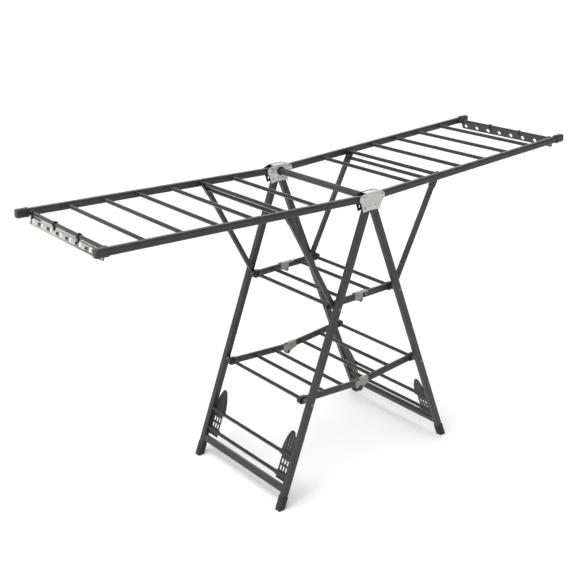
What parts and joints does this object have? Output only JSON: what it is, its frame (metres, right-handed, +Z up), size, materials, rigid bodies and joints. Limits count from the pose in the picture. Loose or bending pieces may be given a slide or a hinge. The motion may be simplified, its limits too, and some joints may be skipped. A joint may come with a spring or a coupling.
{
  "type": "folding winged clothes drying rack",
  "caption": "Free-standing folding drying rack: two crossed leg frames under a central head, two rung wings held by hooked props, two fold-up shelves.",
  "frame": {"origin": "on the floor, under the middle of the rack, between the four feet", "axes": "+X along the rack towards the right wing, +Y to the far side, +Z up"},
  "size_m": [1.8486, 0.472, 0.9878],
  "materials": {
    "charcoal_coat": "satin powder coat",
    "charcoal_gloss": "semi-gloss powder coat",
    "plate_silver": "satin silver-grey paint",
    "bracket_grey": "satin grey paint",
    "strip_silver": "satin",
    "bright_steel": "plated, domed",
    "dark_steel": "blackened",
    "black_plastic": "fine moulded texture",
    "grey_plastic": "fine moulded texture",
    "black_rubber": "matte"
  },
  "bodies": {
    "head": {"near_outer_plate": "plate_silver", "near_inner_plate": "black_plastic", "far_inner_plate": "plate_silver", "far_outer_plate": "black_plastic", "centre_bar": "charcoal_coat", "bar_collars": "black_plastic", "leg_pivot_rivets": "bright_steel"},
    "left_wing_rivets_body": {"left_wing_rivets": "bright_steel"},
    "left_leg_frame": {"left_leg_near": "charcoal_coat", "left_leg_far": "charcoal_coat", "left_crossbar": "charcoal_coat", "left_shoe_rods": "charcoal_gloss", "left_feet": "black_rubber", "left_shoe_holders": "black_plastic", "left_shelf_pivots": "dark_steel"},
    "left_wing": {"left_wing_rail_near": "charcoal_coat", "left_wing_rail_far": "charcoal_coat", "left_wing_rungs": "charcoal_gloss", "left_wing_end_caps": "grey_plastic"},
    "left_hanger": {"left_hanger_strip": "strip_silver", "left_hanger_clips": "black_plastic"},
    "left_prop": {"left_prop_arms": "charcoal_coat", "left_prop_rod": "charcoal_gloss", "left_prop_hooks": "black_plastic"},
    "right_wing_rivets_body": {"right_wing_rivets": "bright_steel"},
    "right_leg_frame": {"right_leg_near": "charcoal_coat", "right_leg_far": "charcoal_coat", "right_crossbar": "charcoal_coat", "right_shoe_rods": "charcoal_gloss", "right_feet": "black_rubber", "right_shoe_holders": "black_plastic", "right_shelf_pivots": "dark_steel"},
    "right_wing": {"right_wing_rail_near": "charcoal_coat", "right_wing_rail_far": "charcoal_coat", "right_wing_rungs": "charcoal_gloss", "right_wing_end_caps": "grey_plastic"},
    "right_hanger": {"right_hanger_strip": "strip_silver", "right_hanger_clips": "black_plastic"},
    "right_prop": {"right_prop_arms": "charcoal_coat", "right_prop_rod": "charcoal_gloss", "right_prop_hooks": "black_plastic"},
    "upper_shelf_middle": {"upper_shelf_mid_pins": "dark_steel"},
    "upper_shelf_left_half": {"upper_shelf_left_rails": "charcoal_coat", "upper_shelf_left_rungs": "charcoal_gloss", "upper_shelf_left_pivot_blocks": "black_plastic", "upper_shelf_hinge_blocks": "black_plastic"},
    "upper_shelf_right_half": {"upper_shelf_right_rails": "charcoal_coat", "upper_shelf_right_rungs": "charcoal_gloss", "upper_shelf_right_pivot_blocks": "black_plastic", "upper_shelf_brackets": "bracket_grey"},
    "lower_shelf_middle": {"lower_shelf_mid_pins": "black_plastic"},
    "lower_shelf_left_half": {"lower_shelf_left_rails": "charcoal_coat", "lower_shelf_left_rungs": "charcoal_gloss", "lower_shelf_left_pivot_blocks": "black_plastic", "lower_shelf_hinge_blocks": "black_plastic"},
    "lower_shelf_right_half": {"lower_shelf_right_rails": "charcoal_coat", "lower_shelf_right_rungs": "charcoal_gloss", "lower_shelf_right_pivot_blocks": "black_plastic", "lower_shelf_brackets": "bracket_grey"}
  },
  "joints": [
    {"name": "frame_fold", "type": "hinge", "parent": "head", "child": "left_leg_frame", "pos_m": [-0.012, 0, 0.91], "axis": [0, -1, 0], "range_deg": [0, 21.2]},
    {"name": "right_leg_fold", "type": "hinge", "parent": "head", "child": "right_leg_frame", "pos_m": [0.012, 0, 0.91], "axis": [0, 1, 0], "range_deg": [0, 21.2]},
    {"name": "left_wing_rivet_turn", "type": "hinge", "parent": "head", "child": "left_wing_rivets_body", "pos_m": [-0.0367, 0, 0.939], "axis": [0, -1, 0], "range_deg": [0, 21.2]},
    {"name": "right_wing_rivet_turn", "type": "hinge", "parent": "head", "child": "right_wing_rivets_body", "pos_m": [0.0367, 0, 0.939], "axis": [0, 1, 0], "range_deg": [0, 21.2]},
    {"name": "left_wing_fold", "type": "hinge", "parent": "left_wing_rivets_body", "child": "left_wing", "pos_m": [-0.0367, 0, 0.939], "axis": [0, -1, 0], "range_deg": [0, 69.6]},
    {"name": "left_prop_swing", "type": "hinge", "parent": "left_leg_frame", "child": "left_prop", "pos_m": [-0.12772, 0, 0.61166], "axis": [0, -1, 0], "range_deg": [0, 127.65]},
    {"name": "left_hanger_swing", "type": "hinge", "parent": "left_wing", "child": "left_hanger", "pos_m": [-0.88199, 0, 0.97354], "axis": [0, 1, 0], "range_deg": [0, 69.6]},
    {"name": "right_wing_fold", "type": "hinge", "parent": "right_wing_rivets_body", "child": "right_wing", "pos_m": [0.0367, 0, 0.939], "axis": [0, 1, 0], "range_deg": [0, 69.6]},
    {"name": "right_prop_swing", "type": "hinge", "parent": "right_leg_frame", "child": "right_prop", "pos_m": [0.12772, 0, 0.61166], "axis": [0, 1, 0], "range_deg": [0, 127.65]},
    {"name": "right_hanger_swing", "type": "hinge", "parent": "right_wing", "child": "right_hanger", "pos_m": [0.88199, 0, 0.97354], "axis": [0, -1, 0], "range_deg": [0, 69.6]},
    {"name": "upper_shelf_lift", "type": "slide", "parent": "head", "child": "upper_shelf_middle", "axis": [0, 0, 1], "range_m": [0, 0.11999]},
    {"name": "upper_shelf_left_turn", "type": "hinge", "parent": "upper_shelf_middle", "child": "upper_shelf_left_half", "pos_m": [0, 0, 0.598], "axis": [0, -1, 0], "range_deg": [0, 90.79]},
    {"name": "upper_shelf_right_turn", "type": "hinge", "parent": "upper_shelf_middle", "child": "upper_shelf_right_half", "pos_m": [0, 0, 0.598], "axis": [0, 1, 0], "range_deg": [0, 90.79]},
    {"name": "lower_shelf_lift", "type": "slide", "parent": "head", "child": "lower_shelf_middle", "axis": [0, 0, 1], "range_m": [0, 0.23494]},
    {"name": "lower_shelf_left_turn", "type": "hinge", "parent": "lower_shelf_middle", "child": "lower_shelf_left_half", "pos_m": [0, 0, 0.29], "axis": [0, -1, 0], "range_deg": [0, 95.87]},
    {"name": "lower_shelf_right_turn", "type": "hinge", "parent": "lower_shelf_middle", "child": "lower_shelf_right_half", "pos_m": [0, 0, 0.29], "axis": [0, 1, 0], "range_deg": [0, 95.87]}
  ],
  "couplings": [
    {"joint": "right_leg_fold", "follows": "frame_fold", "ratio": 1},
    {"joint": "left_wing_rivet_turn", "follows": "frame_fold", "ratio": 1},
    {"joint": "right_wing_rivet_turn", "follows": "frame_fold", "ratio": 1},
    {"joint": "left_prop_swing", "follows": "left_wing_fold", "ratio": 1.8333},
    {"joint": "left_hanger_swing", "follows": "left_wing_fold", "ratio": 1},
    {"joint": "right_prop_swing", "follows": "right_wing_fold", "ratio": 1.8333},
    {"joint": "right_hanger_swing", "follows": "right_wing_fold", "ratio": 1},
    {"joint": "upper_shelf_lift", "follows": "frame_fold", "m_per_rad": 0.32401},
    {"joint": "upper_shelf_left_turn", "follows": "frame_fold", "ratio": 4.2803},
    {"joint": "upper_shelf_right_turn", "follows": "frame_fold", "ratio": 4.2803},
    {"joint": "lower_shelf_lift", "follows": "frame_fold", "m_per_rad": 0.63467},
    {"joint": "lower_shelf_left_turn", "follows": "frame_fold", "ratio": 4.5199},
    {"joint": "lower_shelf_right_turn", "follows": "frame_fold", "ratio": 4.5199}
  ]
}
